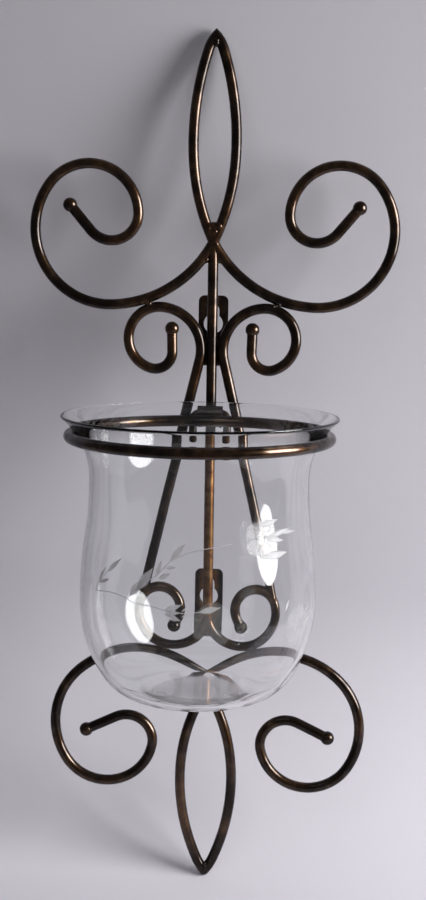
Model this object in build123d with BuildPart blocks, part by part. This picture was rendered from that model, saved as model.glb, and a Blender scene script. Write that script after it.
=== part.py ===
# Votive wall sconce: scroll rods welded into a flat frame that hangs on two keyhole straps,
# a rod ring that hooks on the front of the frame, and a flared glass bell that rests in the ring.
# Millimetres, with X to the right, Y towards the wall and Z up.
# The origin is on the wall, midway between the two keyholes.

import os
from math import acos, copysign, cos, degrees, radians, sin, sqrt, tan

from build123d import *

# Stock
rod_d = 7.0
rail_rod_d = 5.4
ball_d = 9.5
strap_t = 2.0
strap_w = 20.0
hook_w = 17.0

# Heights of the joints, and headings of the rods there in degrees from +X towards +Z
crown_z = 148.5
crown_dome_rise = 13.1
crown_dome_r = 2.2
curl_start = (0.6, -109.8)
centre_rod_foot_drop = 7.2
upper_scroll_heading = -62.0
top_leaf_heading = 64.6
curl_heading = -75.0
stem_heading = -76.6
lower_scroll_heading = 55.4
bottom_leaf_heading = -58.0

# Scrolls: both pairs are bent on the same three jigs after their lead
upper_lead_r = 80.0
lower_lead_r = 60.0
jig_radii = (50.0, 33.0, 18.0)
upper_scroll_turns = (60.0, 128.0, 142.0, 142.0)
lower_scroll_turns = (95.6, 81.9, 136.1, 127.3)
upper_scroll_tail = 18.6
lower_scroll_tail = 19.8

# Side stems, from the leg up through the loop to the ball
loop_radii = (28.5, 21.0, 11.5)
loop_turns = (98.8, 167.2, 108.8)
loop_tail = 12.2
stem_gap = 0.4

# Lower curls
curl_radii = (25.0, 15.0)
curl_turns = (177.0, 194.0)
curl_tail = 3.5

# Leaves
top_leaf_bends = ((146.0, 22.2), (193.0, 21.0), (24.0, 34.0))
bottom_leaf_bends = ((117.0, -25.7), (143.0, -30.0), (40.0, -16.0))

# Hanger straps
keyhole_spacing = 188.0
keyhole_r = 6.5
keyhole_slot_r = 4.0
keyhole_slot_rise = 9.0
strap_offset = 6.0
strap_above = 19.0
strap_below = 28.0
strap_foot = 11.0
strap_bend_r = 2.5
strap_corner_r = 4.0

# Rail that the ring hooks over
rail_z = 33.8
rail_half_width = 11.65
rail_leg = 27.8
rail_corner_r = 5.0

# Ring and its hook
ring_z = 30.0
ring_r = 79.3
running_gap = 0.3
hook_notch_gap = 0.7
hook_finger = 2.8

# Glass bell: the outside from the rim to the shoulder, then a flat foot
glass_wall = 2.8
glass_floor_t = 6.0
glass_foot_r = 18.5
glass_foot_edge_r = 12.0
waist_clearance = 12.2
rim_overhang = 5.2
flare_r = 50.0
upper_side_r = 232.0
lower_side_r = 260.0
belly_r = 86.0
shoulder_r = 31.5
side_turn = 8.7
belly_turn = 32.0
shoulder_turn = 47.0

# Sizes that follow from the stock
rod_r = rod_d / 2
rail_r = rail_rod_d / 2
ball_flat = sqrt((ball_d / 2) ** 2 - rod_r**2)
rods_depth = strap_t + strap_offset + rod_r
rods_plane = Plane.XZ.offset(rods_depth)
joint_reach = 5 * rod_d
rail_depth = rods_depth + rod_r + rail_r
hook_bend_r = rail_r + running_gap + strap_t / 2
hook_front_depth = rail_depth + hook_bend_r
ring_depth = hook_front_depth + strap_t / 2 + rod_r + ring_r


def polar(radius, angle):
    """A step of the given length in the plane of a sketch."""
    return Vector(radius * cos(radians(angle)), radius * sin(radians(angle)))


def bend_centres(start, heading, bends):
    """The centres of tangent bends, each a radius and a turn that is positive to the left."""
    place = Vector(*start)
    centres = []
    for radius, turn in bends:
        side = copysign(90, turn)
        centres.append(place + polar(radius, heading + side))
        heading += turn
        place = centres[-1] + polar(radius, heading - side)
    return centres


def draw_bends(start, heading, bends, tail=0.0):
    """Draws those bends as tangent arcs, then a straight tail, and gives the end."""
    place = tuple(start)
    aim = (cos(radians(heading)), sin(radians(heading)))
    for radius, turn in bends:
        arc = JernArc(place, aim, radius, turn)
        place, aim = arc @ 1, arc % 1
    if tail:
        place = Line(place, place + aim * tail) @ 1
    return place


def sweep_rod(path, radius=rod_r):
    """Sweeps a round rod along the path just drawn, inside the part being built."""
    with BuildSketch(Plane(origin=path @ 0, z_dir=path % 0)) as section:
        Circle(radius)
    sweep(section.sketch, path)


def sweep_strip(path, width):
    """Sweeps a flat strip along the path just drawn, inside the part being built."""
    with BuildSketch(Plane(origin=path @ 0, x_dir=(1, 0, 0), z_dir=path % 0)) as section:
        Rectangle(width, strap_t)
    sweep(section.sketch, path)


def ball_on(path):
    """A ball with a flat that meets the end of the rod swept along the path."""
    end = Plane(origin=path @ 1, z_dir=path % 1)
    with BuildPart() as ball:
        with Locations(end.offset(ball_flat)):
            Sphere(ball_d / 2)
        split(bisect_by=end, keep=Keep.TOP)
    return ball


def mirrored(piece):
    """The left-hand copy of a right-hand piece."""
    with BuildPart() as copy:
        mirror(piece.part, about=Plane.YZ)
    return copy


def seam_above(start_z, lower_heading, upper_heading):
    """The level plane through the notch where two rods that leave one joint part from each other."""
    lower_slope = tan(radians(lower_heading))
    upper_slope = tan(radians(upper_heading))
    lower_edge = rod_r / cos(radians(lower_heading))
    upper_edge = rod_r / cos(radians(upper_heading))
    notch_x = (lower_edge + upper_edge) / (upper_slope - lower_slope)
    return Plane.XY.offset(start_z + lower_edge + lower_slope * notch_x)


def trim_beyond(seam, side):
    """Trims the rod being built at the seam plane, near the joint only, with MIN for above it."""
    with Locations(seam):
        across = 2 * (rods_depth + rod_d)
        Box(joint_reach, across, joint_reach, align=(Align.CENTER, Align.CENTER, side), mode=Mode.SUBTRACT)


# Centre rod with its domed top
with BuildPart() as centre_rod:
    foot_z = curl_start[1] - centre_rod_foot_drop
    with BuildSketch(Plane((0, -rods_depth, foot_z))):
        Circle(rod_r)
    extrude(amount=crown_z + crown_dome_rise - foot_z)
    fillet(centre_rod.edges().sort_by(Axis.Z)[-1], radius=crown_dome_r)

# Upper scroll, coped onto the side of the centre rod below the crown seam
crown_seam = seam_above(crown_z, upper_scroll_heading, top_leaf_heading)
upper_scroll_bends = tuple(zip((upper_lead_r, *jig_radii), upper_scroll_turns))

with BuildPart() as upper_scroll:
    with BuildLine(rods_plane) as upper_scroll_path:
        draw_bends((0, crown_z), upper_scroll_heading, upper_scroll_bends, upper_scroll_tail)
    sweep_rod(upper_scroll_path.line)
    trim_beyond(crown_seam, Align.MIN)
    add(centre_rod.part, mode=Mode.SUBTRACT)
upper_scroll_ball = ball_on(upper_scroll_path.line)

# Top leaf rod, coped onto the centre rod above the seam and mitred at its pointed tip
with BuildPart() as top_leaf:
    with BuildLine(rods_plane) as top_leaf_path:
        draw_bends((0, crown_z), top_leaf_heading, top_leaf_bends)
    sweep_rod(top_leaf_path.line)
    split(bisect_by=Plane.YZ, keep=Keep.TOP)
    split(bisect_by=crown_seam, keep=Keep.TOP)
    add(centre_rod.part, mode=Mode.SUBTRACT)

# Lower curl, coped onto the foot of the centre rod
curl_bends = tuple(zip(curl_radii, curl_turns))
curl_centre, curl_eye_centre = bend_centres(curl_start, curl_heading, curl_bends)

with BuildPart() as lower_curl:
    with BuildLine(rods_plane) as lower_curl_path:
        draw_bends(curl_start, curl_heading, curl_bends, curl_tail)
    sweep_rod(lower_curl_path.line)
    split(bisect_by=Plane.YZ, keep=Keep.TOP)
    add(centre_rod.part, mode=Mode.SUBTRACT)
lower_curl_ball = ball_on(lower_curl_path.line)

# Side stem: its loop touches the upper scroll from below, its waist stands just clear of the
# centre rod, and its straight leg is coped onto the shoulder of the lower curl
scroll_centre = bend_centres((0, crown_z), upper_scroll_heading, upper_scroll_bends)[0]
side_r, loop_r = loop_radii[:2]
loop_to_side = polar(side_r - loop_r, stem_heading - loop_turns[0] + 90)
waist_x = rod_d + stem_gap
loop_reach = upper_lead_r + rod_d + loop_r
loop_x = waist_x + side_r - loop_to_side.X
contact_angle = -degrees(acos((loop_x - scroll_centre.X) / loop_reach))
side_centre = scroll_centre + polar(loop_reach, contact_angle) + loop_to_side
leg_top = side_centre + polar(side_r, stem_heading - 90)
leg_aim = polar(1, stem_heading)
eye_to_leg = leg_top - curl_eye_centre
leg_along = eye_to_leg.dot(leg_aim)
leg_across = eye_to_leg.length**2 - leg_along**2
leg_foot = leg_top + leg_aim * (-leg_along - sqrt(curl_radii[1] ** 2 - leg_across))
loop_bends = tuple((radius, -turn) for radius, turn in zip(loop_radii, loop_turns))

with BuildPart() as side_stem:
    with BuildLine(rods_plane) as side_stem_path:
        Line(tuple(leg_foot), tuple(leg_top))
        draw_bends(leg_top, stem_heading + 180, loop_bends, loop_tail)
    sweep_rod(side_stem_path.line)
    add(lower_curl.part, mode=Mode.SUBTRACT)
side_stem_ball = ball_on(side_stem_path.line)

# Lower scroll: its lead touches the underside of the lower curl, which sets the lower joint
lead_x = lower_lead_r * sin(radians(lower_scroll_heading))
lead_drop = sqrt((lower_lead_r + rod_d + curl_radii[0]) ** 2 - (lead_x - curl_centre.X) ** 2)
heel_z = curl_centre.Y - lead_drop + lower_lead_r * cos(radians(lower_scroll_heading))
heel_seam = seam_above(heel_z, bottom_leaf_heading, lower_scroll_heading)
lower_scroll_bends = tuple((r, -turn) for r, turn in zip((lower_lead_r, *jig_radii), lower_scroll_turns))

with BuildPart() as lower_scroll:
    with BuildLine(rods_plane) as lower_scroll_path:
        draw_bends((0, heel_z), lower_scroll_heading, lower_scroll_bends, lower_scroll_tail)
    sweep_rod(lower_scroll_path.line)
    split(bisect_by=Plane.YZ, keep=Keep.TOP)
    trim_beyond(heel_seam, Align.MAX)
lower_scroll_ball = ball_on(lower_scroll_path.line)

# Bottom leaf rod, below the lower scroll's heel and mitred at its rounded tip
with BuildPart() as bottom_leaf:
    with BuildLine(rods_plane) as bottom_leaf_path:
        draw_bends((0, heel_z), bottom_leaf_heading, bottom_leaf_bends)
    sweep_rod(bottom_leaf_path.line)
    with Locations(bottom_leaf_path.line @ 1):
        Sphere(rod_r)
    split(bisect_by=Plane.YZ, keep=Keep.TOP)
    split(bisect_by=heel_seam, keep=Keep.BOTTOM)

# Rail: an inverted U welded on the front of the centre rod
rail_bottom = rail_z - rail_leg
with BuildPart() as hook_rail:
    with BuildLine(Plane.XZ.offset(rail_depth)) as hook_rail_path:
        FilletPolyline(
            (-rail_half_width, rail_bottom),
            (-rail_half_width, rail_z),
            (rail_half_width, rail_z),
            (rail_half_width, rail_bottom),
            radius=rail_corner_r,
        )
    sweep_rod(hook_rail_path.line, rail_r)


def hanger_strap(hole_z):
    """A joggled strap: its foot lies on the backs of the rods and its keyhole tab on the wall."""
    foot_y = -(strap_offset + strap_t / 2)
    tab_y = -strap_t / 2
    bottom_z = hole_z - strap_below
    joggle_z = bottom_z + strap_foot
    tab_z = joggle_z + strap_offset
    top_z = hole_z + strap_above
    with BuildPart() as strap:
        with BuildLine(Plane.YZ) as strap_path:
            FilletPolyline(
                (foot_y, bottom_z),
                (foot_y, joggle_z),
                (tab_y, tab_z),
                (tab_y, top_z),
                radius=strap_bend_r,
            )
        sweep_strip(strap_path.line, strap_w)
        fillet(strap.edges().filter_by(Axis.Y).group_by(Axis.Z)[-1], radius=strap_corner_r)
        with BuildSketch(Plane.XZ):
            with Locations((0, hole_z)):
                Circle(keyhole_r)
            with Locations((0, hole_z + keyhole_slot_rise / 2)):
                SlotCenterToCenter(keyhole_slot_rise, 2 * keyhole_slot_r, rotation=90)
        extrude(amount=strap_t, mode=Mode.SUBTRACT)
    return strap


upper_hanger_strap = hanger_strap(keyhole_spacing / 2)
lower_hanger_strap = hanger_strap(-keyhole_spacing / 2)

# Ring
with BuildPart() as ring:
    with Locations((0, -ring_depth, ring_z)):
        Torus(ring_r, rod_r)

# Ring hook: a strip over the rail, notched at the back to pass the centre rod
notch_w = 2 * (rod_r + hook_notch_gap)
notch_depth = rods_depth + rod_r + running_gap
with BuildPart() as ring_hook:
    with BuildLine(Plane.YZ) as ring_hook_path:
        front_leg = Line((-hook_front_depth, ring_z - rod_r), (-hook_front_depth, rail_z))
        bend = JernArc(front_leg @ 1, front_leg % 1, hook_bend_r, -180)
        Line(bend @ 1, (bend @ 1) + (bend % 1) * hook_finger)
    sweep_strip(ring_hook_path.line, hook_w)
    with BuildSketch(Plane.XZ):
        with Locations((0, rail_z)):
            Rectangle(notch_w, 2 * hook_w)
    extrude(amount=notch_depth, mode=Mode.SUBTRACT)

# Glass bell: the flare rests in the ring with a running gap
waist_r = ring_r - waist_clearance
flare_axis_r = waist_r + flare_r
flare_turn = degrees(acos((flare_axis_r - ring_r - rim_overhang) / flare_r))
seat_reach = flare_r - rod_r - running_gap
waist_z = ring_z - sqrt(seat_reach**2 - (flare_axis_r - ring_r) ** 2)
flare_centre = Vector(flare_axis_r, waist_z)
rim_angle = 180 - flare_turn
rim_heading = rim_angle + 90
outer_bends = [
    (flare_r, flare_turn),
    (upper_side_r, side_turn),
    (lower_side_r, -side_turn),
    (belly_r, -belly_turn),
    (shoulder_r, -shoulder_turn),
]
inner_bends = [(radius + copysign(glass_wall, turn), turn) for radius, turn in outer_bends]
inner_bends[-1] = (inner_bends[-1][0], belly_turn - 90)
outer_rim = flare_centre + polar(flare_r, rim_angle)
inner_rim = flare_centre + polar(flare_r + glass_wall, rim_angle)
lip = (outer_rim + inner_rim) / 2 + polar(glass_wall / 2, rim_angle - 90)

with BuildPart() as glass_bell:
    with BuildSketch(Plane.XZ.offset(ring_depth)):
        with BuildLine():
            shoulder = draw_bends(outer_rim, rim_heading, outer_bends)
            floor_edge = draw_bends(inner_rim, rim_heading, inner_bends)
            ThreePointArc(outer_rim, lip, inner_rim)
            foot_z = floor_edge.Y - glass_floor_t
            Polyline(shoulder, (glass_foot_r, foot_z), (0, foot_z), (0, floor_edge.Y), floor_edge)
        make_face()
    revolve(axis=Axis((0, -ring_depth, 0), (0, 0, 1)))
    fillet(glass_bell.edges().group_by(Axis.Z)[0], radius=glass_foot_edge_r)

# Hand in each piece, with the handed ones on both sides
handed = {
    "top_leaf": top_leaf,
    "upper_scroll": upper_scroll,
    "upper_scroll_ball": upper_scroll_ball,
    "side_stem": side_stem,
    "side_stem_ball": side_stem_ball,
    "lower_curl": lower_curl,
    "lower_curl_ball": lower_curl_ball,
    "lower_scroll": lower_scroll,
    "lower_scroll_ball": lower_scroll_ball,
    "bottom_leaf": bottom_leaf,
}
pieces = {
    "centre_rod": centre_rod,
    "hook_rail": hook_rail,
    "upper_hanger_strap": upper_hanger_strap,
    "lower_hanger_strap": lower_hanger_strap,
    "ring": ring,
    "ring_hook": ring_hook,
    "glass_bell": glass_bell,
}
for name, right in handed.items():
    pieces[name + "_right"] = right
    pieces[name + "_left"] = mirrored(right)

os.makedirs("parts", exist_ok=True)
for name, piece in pieces.items():
    piece.part.label = name
    export_step(piece.part, f"parts/{name}.step")
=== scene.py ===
from math import acos, atan2, copysign, cos, degrees, pi, radians, sin, sqrt, tan

import bpy
from bpy.props import FloatProperty, FloatVectorProperty, IntProperty, PointerProperty
from mathutils import Matrix, Vector


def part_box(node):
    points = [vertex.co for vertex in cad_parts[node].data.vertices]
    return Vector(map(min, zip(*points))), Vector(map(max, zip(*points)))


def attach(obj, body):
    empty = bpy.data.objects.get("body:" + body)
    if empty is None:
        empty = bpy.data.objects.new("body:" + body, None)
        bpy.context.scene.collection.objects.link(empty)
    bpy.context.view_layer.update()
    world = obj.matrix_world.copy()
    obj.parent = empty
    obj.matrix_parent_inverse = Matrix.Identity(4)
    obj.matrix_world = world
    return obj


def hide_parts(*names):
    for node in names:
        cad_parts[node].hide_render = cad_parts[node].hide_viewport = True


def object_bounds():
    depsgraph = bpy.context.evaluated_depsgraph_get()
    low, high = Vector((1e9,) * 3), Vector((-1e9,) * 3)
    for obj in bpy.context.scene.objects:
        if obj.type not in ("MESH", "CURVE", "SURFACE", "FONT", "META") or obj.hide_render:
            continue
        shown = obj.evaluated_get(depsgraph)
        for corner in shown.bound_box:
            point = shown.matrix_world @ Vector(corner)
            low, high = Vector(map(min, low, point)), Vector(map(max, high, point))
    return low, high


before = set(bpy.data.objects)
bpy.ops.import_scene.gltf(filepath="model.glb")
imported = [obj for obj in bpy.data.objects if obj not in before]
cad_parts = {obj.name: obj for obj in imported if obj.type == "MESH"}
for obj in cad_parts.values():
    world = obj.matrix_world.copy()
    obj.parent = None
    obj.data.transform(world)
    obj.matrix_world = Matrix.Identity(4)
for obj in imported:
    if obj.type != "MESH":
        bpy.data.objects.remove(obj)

bl_info = {
    "name": "Votive Wall Sconce",
    "version": (1, 0, 0),
    "blender": (4, 5, 0),
    "location": "3D View > Sidebar > Sconce",
    "description": "Dresses a scrolled rod sconce and its etched glass bell",
    "category": "Object",
}

CAD_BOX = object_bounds()
MM = 0.001

# Places taken from the frame
BELL_LOW, BELL_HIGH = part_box("glass_bell")
RING_LOW, RING_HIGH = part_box("ring")
ROD_LOW, ROD_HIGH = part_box("centre_rod")
ROD_R = (ROD_HIGH.x - ROD_LOW.x) / 2
RING_Z = (RING_HIGH.z + RING_LOW.z) / 2
RING_R = (RING_HIGH.x - RING_LOW.x) / 2 - ROD_R
BELL_Y = (RING_HIGH.y + RING_LOW.y) / 2
TIP_Z, FOOT_Z = CAD_BOX[1][2], CAD_BOX[0][2]
ROD_BACK_Y = ROD_HIGH.y
BRONZE_NODES = [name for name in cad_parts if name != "glass_bell"]

BRONZE = "oil_rubbed_bronze"
GLASS_IOR = 1.47
BEAD_SEED = 7
POLE_R = 1e-7  # a lathed point nearer the axis than this is a pole

# The outlines of a leaf and of a petal: a shift of over 1 moves the widest place to the tip, and a fullness
# of over 1 rounds the ends
LEAF_OUTLINE = (0.85, 0.77)
PETAL_OUTLINE = (1.5, 1.7)

# Weld beads in millimetres, each a start, an end and a radius: in the middle of the frame, on its right side,
# which its left mirrors, and on the ring
MIDDLE_WELDS = (
    ((-3.3, -12.6, 158.8), (3.3, -12.6, 158.8), 2.7),
    ((-2.6, -12.8, 155.2), (2.6, -12.8, 155.2), 2.6),
    ((-1.7, -12.8, 151.2), (1.7, -12.8, 151.2), 2.1),
    ((-1.6, -12.8, 147.0), (1.6, -12.8, 147.0), 2.1),
    ((0.0, -13.2, 276.5), (0.0, -12.6, 283.0), 2.2),
    ((-2.5, -11.5, -118.0), (2.5, -11.5, -118.0), 3.0),
    ((0.0, -13.5, -161.0), (0.0, -13.5, -155.0), 2.6),
    ((0.0, -13.0, -288.0), (0.0, -13.0, -284.5), 2.0),
)
SIDE_WELDS = (
    ((4.6, -12.2, 136.6), (4.4, -12.2, 142.0), 2.2),
    ((40.5, -13.0, 106.2), (46.0, -13.0, 108.0), 1.8),
    ((3.9, -7.6, 67.5), (3.9, -7.6, 75.5), 1.1),
    ((2.2, -16.0, 30.2), (2.6, -16.0, 30.2), 1.2),
    ((3.9, -7.6, -120.5), (3.9, -7.6, -112.5), 1.1),
    ((45.5, -13.0, -91.0), (49.0, -13.0, -93.0), 1.9),
    ((29.5, -13.0, -131.6), (35.0, -13.0, -130.0), 1.8),
)
RING_WELDS = (
    ((-7.2, -23.4, 27.0), (7.2, -23.4, 27.0), 1.3),
    ((-7.2, -23.4, 33.0), (7.2, -23.4, 33.0), 1.2),
)

# The vine in millimetres, unrolled from the front of the bell: the points along its stems, its leaves by
# their base, tip and width, and its two blooms by their middle and radius
STEMS = (
    ((-64.5, -57.0), (-51.0, -55.6), (-41.0, -56.3), (-32.0, -59.0), (-22.0, -59.6), (-13.0, -61.5)),
    ((-64.5, -57.0), (-61.5, -51.5), (-54.0, -44.0)),
    (
        (-36.0, -56.5),
        (-28.0, -48.0),
        (-19.0, -42.0),
        (-11.0, -34.0),
        (-3.0, -29.4),
        (8.0, -26.3),
        (26.0, -23.3),
    ),
    ((-13.0, -61.5), (-2.0, -62.4), (7.0, -61.5)),
)
LEAVES = (
    ((-62.0, -51.5), (-55.5, -41.0), 2.6),
    ((-54.5, -44.5), (-43.0, -34.5), 3.0),
    ((-61.0, -51.5), (-51.5, -48.0), 2.6),
    ((-35.5, -55.5), (-27.0, -45.0), 5.0),
    ((-30.5, -51.5), (-21.0, -37.5), 6.0),
    ((-19.0, -42.5), (-15.9, -32.5), 2.4),
    ((-17.7, -43.7), (-10.0, -39.8), 3.0),
    ((-14.0, -37.5), (-6.5, -36.5), 2.0),
    ((-11.0, -33.0), (-2.0, -23.0), 4.2),
    ((-13.5, -61.5), (-3.0, -57.5), 3.6),
    ((-13.0, -63.0), (-3.5, -62.2), 2.8),
    ((-13.5, -63.5), (-3.5, -67.0), 3.6),
    ((-3.5, -61.5), (0.8, -58.6), 1.4),
    ((-3.5, -64.5), (0.0, -63.3), 1.2),
    ((6.0, -61.8), (19.0, -59.0), 4.0),
    ((44.0, -14.5), (59.5, -11.5), 3.4),
    ((49.0, -21.5), (70.5, -17.5), 3.2),
    ((60.0, -19.5), (77.0, -20.2), 2.4),
    ((47.5, -21.0), (63.0, -24.2), 4.0),
    ((45.5, -32.5), (66.0, -31.2), 5.0),
    ((61.4, -66.0), (65.0, -59.0), 2.0),
    ((81.0, -70.0), (87.5, -67.3), 1.8),
    ((82.0, -75.5), (91.6, -74.0), 2.2),
)
BLOOMS = (((45.5, -21.5), 12.0), ((74.0, -76.0), 12.0))


class Signal:
    """A node's output, on which arithmetic adds Math nodes to its tree."""

    def __init__(self, tree, socket):
        self.tree = tree
        self.socket = socket

    def math(self, operation, *values):
        """One Math node on this signal and other values."""
        sockets = dict(enumerate((self, *values)))
        return self.tree.out("ShaderNodeMath", {"operation": operation}, sockets)

    def between(self, low, high):
        """0 below low and 1 above high, with a smooth step from one to the other."""
        sockets = {"Value": self, "From Min": low, "From Max": high}
        return self.tree.out("ShaderNodeMapRange", {"interpolation_type": "SMOOTHSTEP"}, sockets)

    def __add__(self, other):
        return self.math("ADD", other)

    def __sub__(self, other):
        return self.math("SUBTRACT", other)

    def __mul__(self, other):
        return self.math("MULTIPLY", other)

    def __truediv__(self, other):
        return self.math("DIVIDE", other)

    def __rsub__(self, other):
        return (self * -1.0) + other

    __radd__ = __add__
    __rmul__ = __mul__


class Tree:
    """A node tree under construction, in which every node comes from one method."""

    def __init__(self, graph):
        self.graph = graph

    def node(self, kind, settings=None, sockets=None):
        """Adds a node, applies its settings, then gives its sockets their values or links."""
        made = self.graph.nodes.new(kind)
        for name, value in (settings or {}).items():
            setattr(made, name, value)
        for key, value in (sockets or {}).items():
            if isinstance(value, Signal):
                self.graph.links.new(value.socket, made.inputs[key])
            else:
                made.inputs[key].default_value = value
        return made

    def out(self, kind, settings=None, sockets=None, output=0):
        """The same, as the signal that leaves one of the node's outputs."""
        return Signal(self, self.node(kind, settings, sockets).outputs[output])

    def mix(self, factor, first, second):
        """Two colours mixed. The sockets go by number, because others of the node share their names."""
        return self.out("ShaderNodeMix", {"data_type": "RGBA"}, {0: factor, 6: first, 7: second}, output=2)

    def noise(self, place, scale, detail, roughness):
        """Noise with a scale per metre, unless its place has other units."""
        sockets = {"Vector": place, "Scale": scale, "Detail": detail, "Roughness": roughness}
        return self.out("ShaderNodeTexNoise", None, sockets)

    def object_place(self):
        """The place of a point in the frame that all the pieces share."""
        return self.out("ShaderNodeTexCoord", output="Object")

    def vector(self, x=0.0, y=0.0, z=0.0):
        """A vector from its three parts."""
        return self.out("ShaderNodeCombineXYZ", None, {"X": x, "Y": y, "Z": z})

    def split(self, vector):
        """The three parts of a vector."""
        made = self.node("ShaderNodeSeparateXYZ", None, {"Vector": vector})
        return [Signal(self, output) for output in made.outputs]

    def moved(self, operation, *values):
        """Vector arithmetic, where Scale takes a vector and a number."""
        keys = (0, "Scale") if operation == "SCALE" else range(len(values))
        return self.out("ShaderNodeVectorMath", {"operation": operation}, dict(zip(keys, values)))

    def named(self, name, kind):
        """What the points of a geometry carry under a name."""
        return self.out("GeometryNodeInputNamedAttribute", {"data_type": kind}, {"Name": name})

    def surface(self, sockets):
        """Ends a material in one Principled shader."""
        skin = self.out("ShaderNodeBsdfPrincipled", None, sockets)
        self.node("ShaderNodeOutputMaterial", None, {"Surface": skin})


def new_finish(name):
    """An empty material and the tree that its nodes go into."""
    material = bpy.data.materials.new(name)
    material.use_nodes = True
    material.node_tree.nodes.clear()
    return material, Tree(material.node_tree)


def rgba(colour):
    return (*colour, 1.0)


def oil_rubbed_bronze(finish):
    """Near-black brown over copper, rubbed through in soft patches, under a thin oiled sheen, with painted
    light behind the bell.
    """
    material, tree = new_finish(BRONZE)
    place = tree.object_place()
    patches = tree.noise(place, scale=34.0, detail=3.0, roughness=0.55)
    mottle = tree.noise(place, scale=150.0, detail=3.0, roughness=0.55)
    pits = tree.noise(place, scale=1100.0, detail=3.0, roughness=0.6)
    across, _, up = tree.split(place)
    # Painted light: near the middle and between these heights, the rods behind the bell are painted brighter
    # copper as if lit there. This is not wear.
    beside, over = across.math("ABSOLUTE").between(*finish.painted_light_width), up.between(*finish.painted_light_top)
    painted_light_zone = (1.0 - beside) * up.between(*finish.painted_light_foot) * (1.0 - over)
    rubbed = (patches * 0.85 + mottle * 0.15 + painted_light_zone * 0.2).between(0.40, 0.72)
    worn = tree.mix(mottle.between(0.30, 0.75), rgba(finish.copper_colour), rgba(finish.gold_colour))
    colour = tree.mix(rubbed * (painted_light_zone * 0.6 + finish.rub_amount), rgba(finish.dark_colour), worn)
    rough = mottle * 0.14 + finish.roughness - rubbed * 0.04
    sheen = (mottle + patches).between(0.75, 1.15) * 0.5 + finish.sheen
    relief = {"Strength": 0.4, "Distance": finish.pit_depth, "Height": pits + mottle}
    tree.surface(
        {
            "Base Color": colour,
            "Metallic": 0.9,
            "Roughness": rough,
            "Specular Tint": rgba(finish.edge_colour),
            "Normal": tree.out("ShaderNodeBump", None, relief),
            "Coat Weight": sheen,
            "Coat Roughness": 0.10,
            "Coat IOR": 1.45,
        }
    )
    return material


def frosted_etching(name, etching, depth=1.0):
    """The white skin that a cutting wheel leaves on glass, in fine strokes along each leaf, and fainter where
    the cut is shallow."""
    material, tree = new_finish(name)
    place = tree.object_place()
    leaf = tree.out("ShaderNodeAttribute", {"attribute_name": "leaf_place"}, output="Vector")
    along, across, on_leaf = tree.split(leaf)
    stroke_place = tree.vector(along * 1.5, across * 9.0, along * across)
    strokes = tree.noise(stroke_place, scale=2.0, detail=2.0, roughness=0.6)
    grain = tree.noise(place, scale=900.0, detail=2.0, roughness=0.6)
    cut = (strokes * 0.7 + grain * 0.3).between(0.34, 0.58)
    rim = across.math("ABSOLUTE").between(0.55, 1.0) * on_leaf
    side, _, _ = tree.split(place)
    fading = 1.0 - side.between(*etching.fade) * 0.5
    cover = (cut * 0.35 + 0.65) * (1.0 - rim * 0.55) * fading * (depth * etching.cover)
    tree.surface(
        {
            "Base Color": rgba(etching.colour),
            "Roughness": 0.55,
            "IOR": GLASS_IOR,
            "Transmission Weight": 0.75,
            "Alpha": cover,
        }
    )
    return material


def blown_glass(glass):
    """Clear glass with the slight waves that blowing leaves, dull on its lip and where its foot is ground."""
    material, tree = new_finish("clear_blown_glass")
    place = tree.object_place()
    waves = tree.noise(place, scale=22.0, detail=1.0, roughness=0.4)
    _, _, up = tree.split(place)
    lip = up.between(*(BELL_HIGH.z - depth for depth in glass.lip_zone))
    foot = 1.0 - up.between(*(BELL_LOW.z + height for height in glass.ground_zone))
    relief = {"Strength": 0.25, "Distance": glass.wave_depth, "Height": waves}
    tree.surface(
        {
            "Base Color": rgba(glass.tint),
            "Roughness": lip * 0.45 + foot * 0.5,
            "IOR": GLASS_IOR,
            "Transmission Weight": 1.0,
            "Normal": tree.out("ShaderNodeBump", None, relief),
        }
    )
    return material


def polar(radius, angle):
    return Vector((radius * cos(radians(angle)), radius * sin(radians(angle))))


def bend_line(start, heading, bends, step=1.5):
    """Points along tangent bends, each a radius and a turn in degrees, positive to the left."""
    points = [Vector(start)]
    for radius, turn in bends:
        side = copysign(90, turn)
        centre = points[-1] + polar(radius, heading + side)
        count = max(2, round(abs(turn) / step))
        for index in range(1, count + 1):
            points.append(centre + polar(radius, heading + turn * index / count - side))
        heading += turn
    return points


def new_object(name, data):
    """Puts a mesh, a lamp or a camera in the scene under one name."""
    made = bpy.data.objects.new(name, data)
    bpy.context.scene.collection.objects.link(made)
    return made


def faced_object(name, mesh, material, smooth=True):
    """Puts a mesh in the scene under one name, with one material over all its faces."""
    mesh.materials.append(material)
    mesh.polygons.foreach_set("use_smooth", [smooth] * len(mesh.polygons))
    return new_object(name, mesh)


def new_mesh(name, points, edges, faces):
    """A mesh from plain lists."""
    mesh = bpy.data.meshes.new(name)
    mesh.from_pydata(points, edges, faces)
    mesh.update()
    return mesh


def lathe(name, profile, segments):
    """Turns a profile of radius and height, from pole to pole, into a closed mesh round the bell's axis."""
    rings = [point for point in profile if point.x > POLE_R]
    turns = [2 * pi * index / segments for index in range(segments)]
    points = [(p.x * sin(a), BELL_Y - p.x * cos(a), p.y) for p in rings for a in turns]
    first_pole, last_pole = len(points), len(points) + 1
    points += [(0, BELL_Y, profile[0].y), (0, BELL_Y, profile[-1].y)]
    faces = []
    for column in range(segments):
        beside = (column + 1) % segments
        for row in range(len(rings) - 1):
            low, high = row * segments, (row + 1) * segments
            faces.append((low + column, low + beside, high + beside, high + column))
        last = (len(rings) - 1) * segments
        faces.append((first_pole, beside, column))
        faces.append((last_pole, last + column, last + beside))
    return new_mesh(name, points, [], faces)


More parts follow.
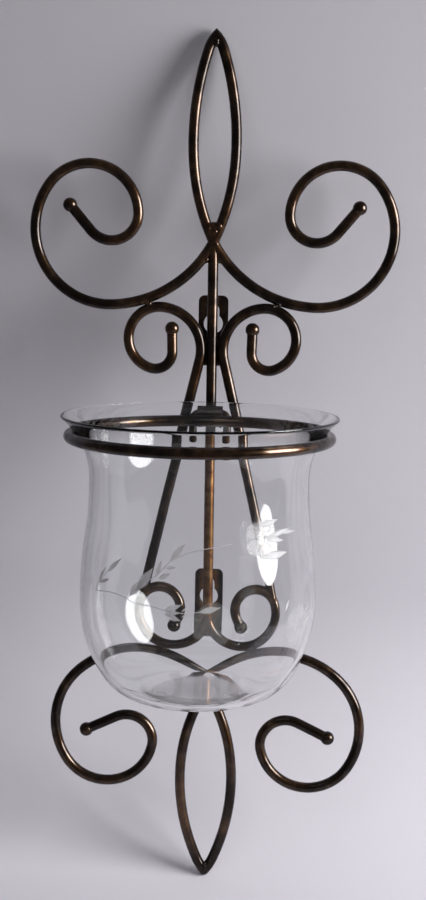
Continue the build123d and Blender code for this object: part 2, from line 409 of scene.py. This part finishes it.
def grower(name, inputs):
    """An empty geometry node group, its tree, and a signal for each of its named inputs."""
    group = bpy.data.node_groups.new(name, "GeometryNodeTree")
    group.interface.new_socket(name="Geometry", in_out="OUTPUT", socket_type="NodeSocketGeometry")
    group.interface.new_socket(name="Geometry", in_out="INPUT", socket_type="NodeSocketGeometry")
    for label, kind in inputs.items():
        group.interface.new_socket(name=label, in_out="INPUT", socket_type="NodeSocket" + kind)
    tree = Tree(group)
    entry = tree.node("NodeGroupInput")
    return group, tree, {socket.name: Signal(tree, socket) for socket in entry.outputs}


def grow(base, group, values):
    """The mesh that a node group makes of a base object, which is then cleared away."""
    modifier = base.modifiers.new(group.name, "NODES")
    modifier.node_group = group
    for item in group.interface.items_tree:
        if item.in_out == "INPUT" and item.name in values:
            modifier[item.identifier] = values[item.name]
    depsgraph = bpy.context.evaluated_depsgraph_get()
    mesh = bpy.data.meshes.new_from_object(base.evaluated_get(depsgraph), depsgraph=depsgraph)
    base.modifiers.remove(modifier)
    bpy.data.objects.remove(base)
    return mesh


def line_object(name, lines, attribute):
    """Loose lines for a node group to follow, each a list of points and the number that they carry."""
    points, edges, numbers = [], [], []
    for line, number in lines:
        first = len(points)
        points += line
        numbers += [number] * len(line)
        edges += [(index, index + 1) for index in range(first, len(points) - 1)]
    mesh = new_mesh(name, points, edges, [])
    mesh.attributes.new(attribute, "FLOAT", "POINT").data.foreach_set("value", numbers)
    return new_object(name, mesh)


def finish_growth(tree, geometry, material):
    """Makes what has grown real, smooth and of one material, and gives it out."""
    real = tree.out("GeometryNodeRealizeInstances", None, {"Geometry": geometry})
    smooth = tree.out("GeometryNodeSetShadeSmooth", None, {"Geometry": real})
    faced = tree.out("GeometryNodeSetMaterial", None, {"Geometry": smooth, "Material": material})
    tree.node("NodeGroupOutput", None, {"Geometry": faced})


def bead_group():
    """Weld beads: overlapping blobs along each line, as wide as its number, with a pitted skin."""
    inputs = {"Pitch": "Float", "Unevenness": "Float", "Pit Depth": "Float", "Material": "Material"}
    group, tree, given = grower("weld_beads", inputs)
    curve = tree.out("GeometryNodeMeshToCurve", None, {"Mesh": given["Geometry"]})
    spacing = {"Curve": curve, "Length": given["Pitch"]}
    laid = tree.out("GeometryNodeResampleCurve", {"mode": "LENGTH"}, spacing)
    chance = tree.out("FunctionNodeRandomValue", {"data_type": "FLOAT"}, {"Seed": BEAD_SEED}, output=1)
    scale = tree.named("bead_radius", "FLOAT") * ((chance - 0.5) * given["Unevenness"] + 1.0)
    drop = tree.out("GeometryNodeMeshIcoSphere", None, {"Radius": 1.0, "Subdivisions": 4})
    set_out = {"Points": laid, "Instance": drop, "Scale": scale}
    beads = tree.out("GeometryNodeInstanceOnPoints", None, set_out)
    real = tree.out("GeometryNodeRealizeInstances", None, {"Geometry": beads})
    normal = tree.out("GeometryNodeInputNormal")
    place = tree.out("GeometryNodeInputPosition")
    pits = tree.noise(place, scale=700.0, detail=2.0, roughness=0.6)
    lumps = tree.noise(place, scale=220.0, detail=1.0, roughness=0.5)
    pit_share = 0.25
    level = 0.5 * (pit_share + 1.0)
    push = tree.moved("SCALE", normal, (pits * pit_share + lumps - level) * given["Pit Depth"])
    pitted = tree.out("GeometryNodeSetPosition", None, {"Geometry": real, "Offset": push})
    finish_growth(tree, pitted, given["Material"])
    return group


def vine_group():
    """An etched vine: flat lines become stems and loose points become leaves, all wrapped on the bell."""
    inputs = {
        "Bell": "Object",
        "Leaf": "Object",
        "Stem Width": "Float",
        "Wrap Radius": "Float",
        "Reach": "Float",
        "Lift": "Float",
        "Material": "Material",
    }
    group, tree, given = grower("etched_vine", inputs)
    drawn = tree.out("GeometryNodeMeshToCurve", None, {"Mesh": given["Geometry"]})
    curve = tree.out("GeometryNodeCurveSplineType", {"spline_type": "CATMULL_ROM"}, {"Curve": drawn})
    half = given["Stem Width"] * 0.5
    ends = {"Start": tree.vector(half * -1.0), "End": tree.vector(half)}
    section = tree.out("GeometryNodeCurvePrimitiveLine", None, ends)
    stems = tree.out("GeometryNodeCurveToMesh", None, {"Curve": curve, "Profile Curve": section})
    size, turn = (tree.named(name, "FLOAT_VECTOR") for name in ("leaf_size", "leaf_turn"))
    has_leaf, _, _ = tree.split(size)
    spots = tree.out("GeometryNodeMeshToPoints", None, {"Mesh": given["Geometry"], "Selection": has_leaf})
    leaf = tree.out("GeometryNodeObjectInfo", None, {"Object": given["Leaf"]}, output="Geometry")
    facing = tree.out("FunctionNodeEulerToRotation", None, {"Euler": turn})
    set_out = {"Points": spots, "Instance": leaf, "Rotation": facing, "Scale": size}
    leaves = tree.out("GeometryNodeInstanceOnPoints", None, set_out)
    flat = tree.node("GeometryNodeJoinGeometry")
    for part in (stems, leaves):
        tree.graph.links.new(part.socket, flat.inputs[0])
    real = tree.out("GeometryNodeRealizeInstances", None, {"Geometry": Signal(tree, flat.outputs[0])})
    across, up, layer = tree.split(tree.out("GeometryNodeInputPosition"))
    angle = across / given["Wrap Radius"]
    outwards = tree.vector(angle.math("SINE"), angle.math("COSINE") * -1.0)
    axis = tree.vector(0.0, BELL_Y, up)
    eye = tree.moved("ADD", axis, tree.moved("SCALE", outwards, given["Reach"]))
    bell = tree.out("GeometryNodeObjectInfo", None, {"Object": given["Bell"]}, output="Geometry")
    cast = {
        "Target Geometry": bell,
        "Source Position": eye,
        "Ray Direction": tree.moved("SCALE", outwards, -1.0),
        "Ray Length": given["Reach"],
    }
    ray = tree.node("GeometryNodeRaycast", None, cast)
    lifted = tree.moved("SCALE", Signal(tree, ray.outputs["Hit Normal"]), given["Lift"] + layer)
    on_bell = tree.moved("ADD", Signal(tree, ray.outputs["Hit Position"]), lifted)
    wrapped = tree.out("GeometryNodeSetPosition", None, {"Geometry": real, "Position": on_bell})
    finish_growth(tree, wrapped, given["Material"])
    return group


def leaf_object(shift, fullness, columns=12, rows=4):
    """A leaf or petal, 1 long and 1 wide, along X. Its points carry their place along it and across it, and
    a 1 that tells it from a stem."""
    points, places, faces = [], [], []
    for column in range(columns + 1):
        along = column / columns
        half = 0.5 * sin(pi * along**shift) ** (1 / fullness)
        for row in range(rows + 1):
            across = 2 * row / rows - 1
            points.append((along, half * across, 0.0))
            places += [along, across, 1.0]
    for column in range(columns):
        for row in range(rows):
            low = column * (rows + 1) + row
            faces.append((low, low + rows + 1, low + rows + 2, low + 1))
    mesh = new_mesh("leaf", points, [], faces)
    mesh.attributes.new("leaf_place", "FLOAT_VECTOR", "POINT").data.foreach_set("vector", places)
    return new_object("leaf", mesh)


def bloom_petals(etching):
    """The petals of every bloom, each by its base, tip and width in millimetres."""
    petals = []
    for middle, radius in BLOOMS:
        for index in range(etching.petals):
            tip = polar(radius, 360 * index / etching.petals)
            base = tip * 0.1
            petals.append((Vector(middle) + base, Vector(middle) + tip, radius * etching.petal_width))
    return petals


def drawing_object(stems, leaves, etching):
    """An etching drawn flat: lines for its stems, and a loose point for each leaf, with its size and turn."""
    points, edges = [], []
    for stem in stems:
        edges += [(len(points) + index, len(points) + index + 1) for index in range(len(stem) - 1)]
        points += [(x * MM, y * MM, 0.0) for x, y in stem]
    sizes, turns = [0.0] * 3 * len(points), [0.0] * 3 * len(points)
    for index, (base, tip, width) in enumerate(leaves):
        spine = Vector(tip) - Vector(base)
        points.append((base[0] * MM, base[1] * MM, index * etching.layer))
        sizes += [spine.length * MM, width * MM, 1.0]
        turns += [0.0, 0.0, atan2(spine.y, spine.x)]
    mesh = new_mesh("vine_drawing", points, edges, [])
    for name, values in (("leaf_size", sizes), ("leaf_turn", turns)):
        mesh.attributes.new(name, "FLOAT_VECTOR", "POINT").data.foreach_set("vector", values)
    return new_object("vine_drawing", mesh)


def bell_profile(glass):
    """The bell's section, from the middle of its foot up the outside, over the lip and down the inside. Its
    sides run from the rim down, the inside turning on until it is level with the floor."""
    wall = glass.wall
    seat = glass.flare_r - ROD_R - glass.seat_gap
    waist_z = RING_Z - sqrt(seat**2 - (glass.flare_axis_r - RING_R) ** 2)
    flare_turn = degrees(acos((glass.flare_axis_r - glass.rim_r) / glass.flare_r))
    radii = (glass.flare_r, glass.upper_side_r, glass.lower_side_r, glass.belly_r, glass.shoulder_r)
    turns = (flare_turn, glass.side_turn, -glass.side_turn, -glass.belly_turn, -glass.shoulder_turn)
    flare_centre = Vector((glass.flare_axis_r, waist_z))
    rim_angle = 180 - flare_turn
    outer_rim = flare_centre + polar(glass.flare_r, rim_angle)
    inner_rim = flare_centre + polar(glass.flare_r + wall, rim_angle)
    lip_t = wall - glass.thinning
    inner_turns = (*turns[:-1], glass.belly_turn - 90)
    inner_bends = [(radius + copysign(wall, turn), turn) for radius, turn in zip(radii, inner_turns)]
    outside = bend_line(outer_rim, rim_angle + 90, list(zip(radii, turns)))
    inside = bend_line(inner_rim, rim_angle + 90, inner_bends)
    for point in inside:
        thinned = glass.thinning * max(0.0, 1 - (inner_rim - point).length / glass.thinning_length)
        point += (flare_centre - point).normalized() * thinned
    lip = bend_line(outer_rim, rim_angle - 90, [(lip_t / 2, 180)], step=30)[1:-1]
    foot_z = inside[-1].y - glass.floor_t
    shoulder = outside[-1]
    foot_slope = degrees(atan2(shoulder.y - foot_z, shoulder.x - glass.foot_r))
    flat = glass.foot_r - glass.foot_edge_r * tan(radians(foot_slope / 2))
    foot_edge = bend_line((flat, foot_z), 0, [(glass.foot_edge_r, foot_slope)])
    foot = [Vector((0, foot_z)), Vector((glass.foot_r / 2, foot_z)), *foot_edge]
    floor = [Vector((inside[-1].x / 2, inside[-1].y)), Vector((0, inside[-1].y))]
    return [*foot, *reversed(outside), *lip, *inside, *floor]


def length(name, description, default):
    """A property for a length in metres."""
    return FloatProperty(
        name=name,
        description=description,
        unit="LENGTH",
        min=0.0,
        default=default,
        precision=5,
    )


def two_lengths(name, description, default):
    """A property for two lengths in metres: the edges of a zone that a finish fades over, or two sides."""
    return FloatVectorProperty(name=name, description=description, unit="LENGTH", size=2, default=default)


def place_of(name, description, default):
    """A property for a place in metres."""
    return FloatVectorProperty(
        name=name,
        description=description,
        subtype="XYZ",
        unit="LENGTH",
        size=3,
        default=default,
    )


def share(name, description, default):
    """A property for a share from 0 to 1."""
    return FloatProperty(
        name=name,
        description=description,
        subtype="FACTOR",
        min=0.0,
        max=1.0,
        default=default,
    )


def degrees_turned(name, description, default):
    """A property for a turn in degrees."""
    return FloatProperty(name=name, description=description, min=0.0, max=180.0, default=default)


def hue(name, description, default):
    """A property for a colour."""
    return FloatVectorProperty(
        name=name,
        description=description,
        subtype="COLOR",
        size=3,
        min=0.0,
        max=1.0,
        default=default,
    )


def power(name, description, default):
    """A property for the power of a lamp in watts."""
    return FloatProperty(name=name, description=description, unit="POWER", min=0.0, default=default)


class FinishSizes(bpy.types.PropertyGroup):
    """Colours and wear of the metal, and its zone of painted light."""

    dark_colour: hue("Dark Colour", "Colour where the dark skin is whole", (0.013, 0.0072, 0.0042))
    edge_colour: hue("Edge Colour", "Tint where the metal turns away from the eye", (0.10, 0.07, 0.05))
    copper_colour: hue("Copper Colour", "Colour where the dark skin is rubbed thin", (0.20, 0.078, 0.028))
    gold_colour: hue("Gold Colour", "Colour where the metal is rubbed bright", (0.34, 0.18, 0.068))
    rub_amount: share("Rub", "How far the rubbed patches show through", 0.27)
    roughness: share("Roughness", "Roughness of the metal before its mottling", 0.26)
    sheen: share("Sheen", "Least weight of the oiled coat", 0.45)
    pit_depth: length("Pit Depth", "Depth of the pits and mottling of the metal", 0.12 * MM)
    # The next three bound a zone of painted light: brighter copper painted on the rods behind the bell, not
    # wear.
    painted_light_width: two_lengths(
        "Painted Light Width",
        "Distances from the middle between which the wear of the rods behind the bell ends",
        (4 * MM, 9 * MM),
    )
    painted_light_foot: two_lengths("Painted Light Foot", "Heights between which that wear starts", (-0.13, -0.10))
    painted_light_top: two_lengths("Painted Light Top", "Heights between which that wear ends", (-0.02, 0.03))


class WeldSizes(bpy.types.PropertyGroup):
    """Form of the weld beads."""

    pitch: length("Pitch", "Distance from one blob of a bead to the next", 1.5 * MM)
    unevenness: share("Unevenness", "How much the blobs differ in size", 0.35)
    pit_depth: length("Pit Depth", "Depth of the pits and lumps in a bead's skin", 0.8 * MM)


class EtchingSizes(bpy.types.PropertyGroup):
    """Form and whiteness of the etched vine."""

    stem_width: length("Stem Width", "Width of a cut stem", 0.45 * MM)
    petals: IntProperty(name="Petals", description="Petals of each bloom", min=3, max=12, default=5)
    petal_width: share("Petal Width", "Width of a petal as a share of the bloom's radius", 1.0)
    petal_depth: share("Petal Depth", "Depth of the petals' cutting as a share of that of the leaves", 0.38)
    wrap_radius: length("Wrap Radius", "Radius of the bell that the drawing is unrolled from", 72.0 * MM)
    lift: length("Lift", "Height of the frosted skin above the glass", 0.05 * MM)
    layer: length("Layer", "Height of each leaf above the one before it", 0.002 * MM)
    skin: length("Skin", "Thickness of the frosted skin", 0.05 * MM)
    cover: share("Cover", "How solid the frosting is where it is thickest", 0.8)
    fade: two_lengths(
        "Fade",
        "Distances to the right of the middle between which the cutting grows shallower",
        (46 * MM, 60 * MM),
    )
    colour: hue("Frost Colour", "Colour of the frosting", (0.80, 0.80, 0.81))


class GlassSizes(bpy.types.PropertyGroup):
    """Shape and tint of the bell."""

    wall: length("Wall", "Thickness of the blown wall", 2.8 * MM)
    thinning: length("Lip Thinning", "How much thinner the wall is at the lip", 1.2 * MM)
    thinning_length: length("Thinning Length", "Length over which the wall thins", 14.0 * MM)
    floor_t: length("Floor", "Thickness of the glass under the candle", 6.0 * MM)
    foot_r: length("Foot Radius", "Radius of the flat foot", 18.5 * MM)
    foot_edge_r: length("Foot Edge", "Radius that rounds the foot", 12.0 * MM)
    seat_gap: length("Seat Gap", "Gap between the flare and the ring", 0.3 * MM)
    rim_r: length("Rim Radius", "Radius of the flared rim", 84.5 * MM)
    flare_axis_r: length("Flare Axis", "Distance of the flare's centre from the axis", 117.1 * MM)
    flare_r: length("Flare Radius", "Radius of the flare's curve", 50.0 * MM)
    upper_side_r: length("Upper Side", "Radius of the side below the waist", 232.0 * MM)
    lower_side_r: length("Lower Side", "Radius of the side above the belly", 260.0 * MM)
    belly_r: length("Belly Radius", "Radius of the belly's curve", 86.0 * MM)
    shoulder_r: length("Shoulder Radius", "Radius of the curve into the foot", 31.5 * MM)
    side_turn: degrees_turned("Side Turn", "Turn of each side curve", 8.7)
    belly_turn: degrees_turned("Belly Turn", "Turn of the belly's curve", 32.0)
    shoulder_turn: degrees_turned("Shoulder Turn", "Turn of the curve into the foot", 47.0)
    ground_r: length("Ground Patch", "Radius of the patch ground flat under the foot", 7.0 * MM)
    segments: IntProperty(name="Segments", description="Faces round the bell", min=24, max=512, default=192)
    patch_segments: IntProperty(
        name="Patch Segments",
        description="Faces round the ground patch",
        min=24,
        max=512,
        default=64,
    )
    tint: hue("Tint", "Colour of light through the glass", (0.985, 0.99, 0.99))
    wave_depth: length("Wave Depth", "Depth of the waves that blowing leaves", 0.6 * MM)
    lip_zone: two_lengths(
        "Dull Lip",
        "Distances below the top between which the glass turns dull",
        (1.4 * MM, 0.6 * MM),
    )
    ground_zone: two_lengths(
        "Ground Foot",
        "Heights over the foot between which the glass turns clear",
        (0.4 * MM, 3.0 * MM),
    )


class StageSizes(bpy.types.PropertyGroup):
    """Camera, lamps and backdrop, with the backdrop's painted shade."""

    lens: FloatProperty(
        name="Lens",
        description="Focal length of the camera",
        subtype="DISTANCE_CAMERA",
        min=1.0,
        default=56.0,
    )
    eye: place_of("Eye", "Place of the camera", (64.9 * MM, -949.2 * MM, 134.5 * MM))
    aim: FloatVectorProperty(
        name="Aim",
        description="Turn of the camera to the left, up, and anticlockwise",
        subtype="EULER",
        unit="ROTATION",
        size=3,
        default=(radians(3.85), radians(-7.6), radians(0.89)),
    )
    lean: FloatProperty(
        name="Lean",
        description="Angle between the backdrop and the plane of the rods",
        subtype="ANGLE",
        min=0.0,
        max=radians(20),
        default=radians(13.0),
    )
    sweep_r: length("Sweep Radius", "Radius of the backdrop's curve into the floor", 160 * MM)
    paper_colour: hue("Paper", "Colour of the backdrop", (0.62, 0.60, 0.645))
    # Painted shade on the backdrop: greyer towards its top.
    dimming: share("Dimming", "How much greyer the backdrop is at its top", 0.20)
    dimming_zone: two_lengths("Dimming Zone", "Heights between which it turns greyer", (-0.40, 0.30))
    # A painted shadow on the backdrop: one soft grey band.
    band_width: length("Band Width", "Half the width of the backdrop's grey band", 130 * MM)
    band_z: length("Band Height", "Height of that band in the middle", 125 * MM)
    band_rise: share("Band Rise", "How far the band climbs for its run to the right", 0.25)
    band_depth: share("Band Depth", "How much greyer the band is at its left end", 0.06)
    band_zone: two_lengths("Band Zone", "Places across between which the band dies away", (-0.22, 0.22))
    key_place: place_of("Key Lamp", "Place of the key lamp, to the right of the sconce", (1.17, -0.39, 0.275))
    key_size: two_lengths("Key Size", "Width and height of the key lamp", (0.74, 0.90))
    key_power: power("Key Power", "Power of the key lamp", 8.7)
    key_spread: degrees_turned("Key Spread", "Angle that the key lamp's light spreads over", 90.0)
    fill_place: place_of("Fill Lamp", "Place of the fill lamp, in front and above", (-0.5, -1.9, 1.2))
    fill_size: two_lengths("Fill Size", "Width and height of the fill lamp", (1.8, 1.8))
    fill_power: power("Fill Power", "Power of the fill lamp", 9.0)
    fill_spread: degrees_turned("Fill Spread", "Angle that the fill lamp's light spreads over", 180.0)
    fill_colour: hue("Fill Colour", "Colour of the fill lamp's light", (0.97, 0.98, 1.0))
    sky_colour: hue("Sky Colour", "Colour of the light from all round", (0.95, 0.95, 1.0))
    sky_strength: share("Sky Strength", "Strength of the light from all round", 0.10)


class SCONCE_OT_metal(bpy.types.Operator):
    """Give the rods, balls, straps, ring and hook their bronze finish"""

    bl_idname = "sconce.metal"
    bl_label = "Bronze"

    def execute(self, context):
        bronze = oil_rubbed_bronze(context.scene.sconce_finish)
        for name in BRONZE_NODES:
            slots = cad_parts[name].data.materials
            slots.clear()
            slots.append(bronze)
        return {"FINISHED"}


def weld(name, body, welds, context):
    """Lays the beads of one body, each a start, an end and a radius in millimetres."""
    sizes = context.scene.sconce_welds
    lines = [([Vector(start) * MM, Vector(end) * MM], radius * MM) for start, end, radius in welds]
    values = {
        "Pitch": sizes.pitch,
        "Unevenness": sizes.unevenness,
        "Pit Depth": sizes.pit_depth,
        "Material": bpy.data.materials[BRONZE],
    }
    mesh = grow(line_object(name + "_lines", lines, "bead_radius"), bead_group(), values)
    beads = new_object(name, mesh)
    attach(beads, body)


class SCONCE_OT_welds(bpy.types.Operator):
    """Lay the weld beads where the rods, the straps and the hook are joined"""

    bl_idname = "sconce.welds"
    bl_label = "Weld Beads"

    def execute(self, context):
        flip = Vector((-1, 1, 1))
        left = [(Vector(start) * flip, Vector(end) * flip, radius) for start, end, radius in SIDE_WELDS]
        weld("frame_welds", "frame", (*MIDDLE_WELDS, *SIDE_WELDS, *left), context)
        weld("ring_welds", "ring_holder", RING_WELDS, context)
        return {"FINISHED"}


class SCONCE_OT_bell(bpy.types.Operator):
    """Blow the glass bell, grind the patch under its foot and set it in its ring"""

    bl_idname = "sconce.bell"
    bl_label = "Glass Bell"

    def execute(self, context):
        glass = context.scene.sconce_glass
        mesh = lathe("bell", bell_profile(glass), glass.segments)
        bell = faced_object("bell", mesh, blown_glass(glass))
        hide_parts("glass_bell")
        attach(bell, "glass")
        etching = context.scene.sconce_etching
        top = BELL_LOW.z - etching.lift
        under = top - etching.skin
        corners = ((0, under), (glass.ground_r, under), (glass.ground_r, top), (0, top))
        mesh = lathe("ground_patch", [Vector(corner) for corner in corners], glass.patch_segments)
        patch = faced_object("ground_patch", mesh, frosted_etching("ground_glass", etching), smooth=False)
        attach(patch, "glass")
        return {"FINISHED"}


def etch(name, stems, leaves, leaf, frost, etching):
    """Cuts one drawing into the outside of the bell, as a thin frosted skin that rides with it."""
    values = {
        "Bell": bpy.data.objects["bell"],
        "Leaf": leaf,
        "Stem Width": etching.stem_width,
        "Wrap Radius": etching.wrap_radius,
        "Reach": 2 * etching.wrap_radius,
        "Lift": etching.lift,
        "Material": frost,
    }
    mesh = grow(drawing_object(stems, leaves, etching), vine_group(), values)
    bpy.data.objects.remove(leaf)
    etched = new_object(name, mesh)
    skin = etched.modifiers.new("skin", "SOLIDIFY")
    skin.thickness = etching.skin
    skin.offset = 1.0
    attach(etched, "glass")


class SCONCE_OT_vine(bpy.types.Operator):
    """Etch the leafy vine and its blooms on the outside of the bell"""

    bl_idname = "sconce.vine"
    bl_label = "Etched Vine"

    def execute(self, context):
        etching = context.scene.sconce_etching
        deep = frosted_etching("frosted_leaves", etching)
        shallow = frosted_etching("frosted_petals", etching, etching.petal_depth)
        etch("etched_vine", STEMS, LEAVES, leaf_object(*LEAF_OUTLINE), deep, etching)
        etch("etched_blooms", (), bloom_petals(etching), leaf_object(*PETAL_OUTLINE), shallow, etching)
        return {"FINISHED"}


def area_lamp(name, place, size, watts, spread):
    """A rounded soft lamp at a place, turned to the middle of the sconce."""
    lamp = bpy.data.lights.new(name, "AREA")
    lamp.shape = "ELLIPSE"
    lamp.size, lamp.size_y = size
    lamp.energy = watts
    lamp.spread = radians(spread)
    stand = new_object(name, lamp)
    stand.location = place
    stand.rotation_euler = (-Vector(place)).to_track_quat("-Z", "Y").to_euler()
    return stand


def backdrop_paper(stage):
    """Pale paper with painted shade, greyer upwards and across one soft band of painted shadow, clear from
    behind.
    """
    material, tree = new_finish("backdrop_paper")
    across, _, up = tree.split(tree.object_place())
    # Painted shadow: a soft grey band across the paper, which climbs to the right and is deepest at its left
    # end.
    band_middle = across * stage.band_rise
    off_band = (up - band_middle - stage.band_z).math("ABSOLUTE").between(0.0, stage.band_width)
    band_depth = across.between(*stage.band_zone) * -stage.band_depth + stage.band_depth
    # Painted shade: the paper turns greyer towards its top.
    dimmer = up.between(*stage.dimming_zone) * stage.dimming
    light = 1.0 - (1.0 - off_band) * band_depth - dimmer
    shade = tree.moved("SCALE", stage.paper_colour, light)
    paper = tree.out("ShaderNodeBsdfDiffuse", None, {"Color": shade})
    clear = tree.out("ShaderNodeBsdfTransparent")
    behind = tree.out("ShaderNodeNewGeometry", output="Backfacing")
    seen = tree.out("ShaderNodeMixShader", None, {0: behind, 1: paper, 2: clear})
    tree.node("ShaderNodeOutputMaterial", None, {"Surface": seen})
    return material


def backdrop_mesh(stage, half_width=0.8, height=1.2, reach=0.35, clearance=0.3 * MM, steps=32):
    """One sheet down the wall behind the top tip, round a curve and out under the bottom tip."""
    slope = tan(stage.lean)

    def wall_y(z):
        return ROD_BACK_Y + clearance + (TIP_Z - z) * slope

    radius = stage.sweep_r
    down = Vector((slope, -1)).normalized()
    front = Vector((down.y, -down.x))
    foot = Vector((ROD_BACK_Y - ROD_R, FOOT_Z))
    wall_gap = (Vector((wall_y(FOOT_Z), FOOT_Z)) - foot).dot(-front)
    rise = sqrt(radius**2 - (radius - wall_gap) ** 2)
    centre = foot + front * (radius - wall_gap) - down * rise
    start = atan2(-front.y, -front.x)
    turns = [start + (-pi / 2 - start) * step / steps for step in range(steps + 1)]
    curve = [centre + radius * Vector((cos(turn), sin(turn))) for turn in turns]
    line = [Vector((wall_y(height), height)), *curve, Vector((-reach, curve[-1].y))]
    points = [(x, point.x, point.y) for point in line for x in (-half_width, half_width)]
    faces = [(2 * i, 2 * i + 2, 2 * i + 3, 2 * i + 1) for i in range(len(line) - 1)]
    return new_mesh("backdrop", points, [], faces)


class SCONCE_OT_stage(bpy.types.Operator):
    """Set the camera, the soft lamps and the backdrop that curves into the floor"""

    bl_idname = "sconce.stage"
    bl_label = "Stage"

    def execute(self, context):
        stage = context.scene.sconce_stage
        scene = context.scene
        scene.view_settings.view_transform = "Standard"
        turn_left, tilt_up, roll = stage.aim
        camera = new_object("camera", bpy.data.cameras.new("camera"))
        camera.data.lens = stage.lens
        camera.matrix_world = (
            Matrix.Translation(stage.eye)
            @ Matrix.Rotation(turn_left, 4, "Z")
            @ Matrix.Rotation(pi / 2 + tilt_up, 4, "X")
            @ Matrix.Rotation(roll, 4, "Z")
        )
        scene.camera = camera
        faced_object("backdrop", backdrop_mesh(stage), backdrop_paper(stage))
        area_lamp("key_lamp", stage.key_place, stage.key_size, stage.key_power, stage.key_spread)
        fill = area_lamp("fill_lamp", stage.fill_place, stage.fill_size, stage.fill_power, stage.fill_spread)
        fill.data.color = stage.fill_colour
        fill.visible_glossy = False
        world = bpy.data.worlds.new("studio")
        world.use_nodes = True
        sky = world.node_tree.nodes["Background"]
        sky.inputs["Color"].default_value = rgba(stage.sky_colour)
        sky.inputs["Strength"].default_value = stage.sky_strength
        scene.world = world
        return {"FINISHED"}


class SCONCE_PT_panel(bpy.types.Panel):
    """Sizes, colours and steps of the sconce"""

    bl_idname = "SCONCE_PT_panel"
    bl_label = "Votive Wall Sconce"
    bl_space_type = "VIEW_3D"
    bl_region_type = "UI"
    bl_category = "Sconce"

    def draw(self, context):
        for title, group in (
            ("Metal", context.scene.sconce_finish),
            ("Welds", context.scene.sconce_welds),
            ("Glass", context.scene.sconce_glass),
            ("Etching", context.scene.sconce_etching),
            ("Stage", context.scene.sconce_stage),
        ):
            box = self.layout.box()
            box.label(text=title)
            for name in group.__annotations__:
                box.prop(group, name)
        for operator in OPERATORS:
            self.layout.operator(operator.bl_idname)


GROUPS = {
    "sconce_finish": FinishSizes,
    "sconce_welds": WeldSizes,
    "sconce_glass": GlassSizes,
    "sconce_etching": EtchingSizes,
    "sconce_stage": StageSizes,
}
OPERATORS = (SCONCE_OT_metal, SCONCE_OT_welds, SCONCE_OT_bell, SCONCE_OT_vine, SCONCE_OT_stage)
CLASSES = (*GROUPS.values(), *OPERATORS, SCONCE_PT_panel)


def register():
    for one in CLASSES:
        bpy.utils.register_class(one)
    for name, group in GROUPS.items():
        setattr(bpy.types.Scene, name, PointerProperty(type=group))


def unregister():
    for name in GROUPS:
        delattr(bpy.types.Scene, name)
    for one in reversed(CLASSES):
        bpy.utils.unregister_class(one)


def main():
    register()
    bpy.ops.sconce.metal()
    bpy.ops.sconce.welds()
    bpy.ops.sconce.bell()
    bpy.ops.sconce.vine()
    bpy.ops.sconce.stage()


if __name__ == "__main__":
    main()
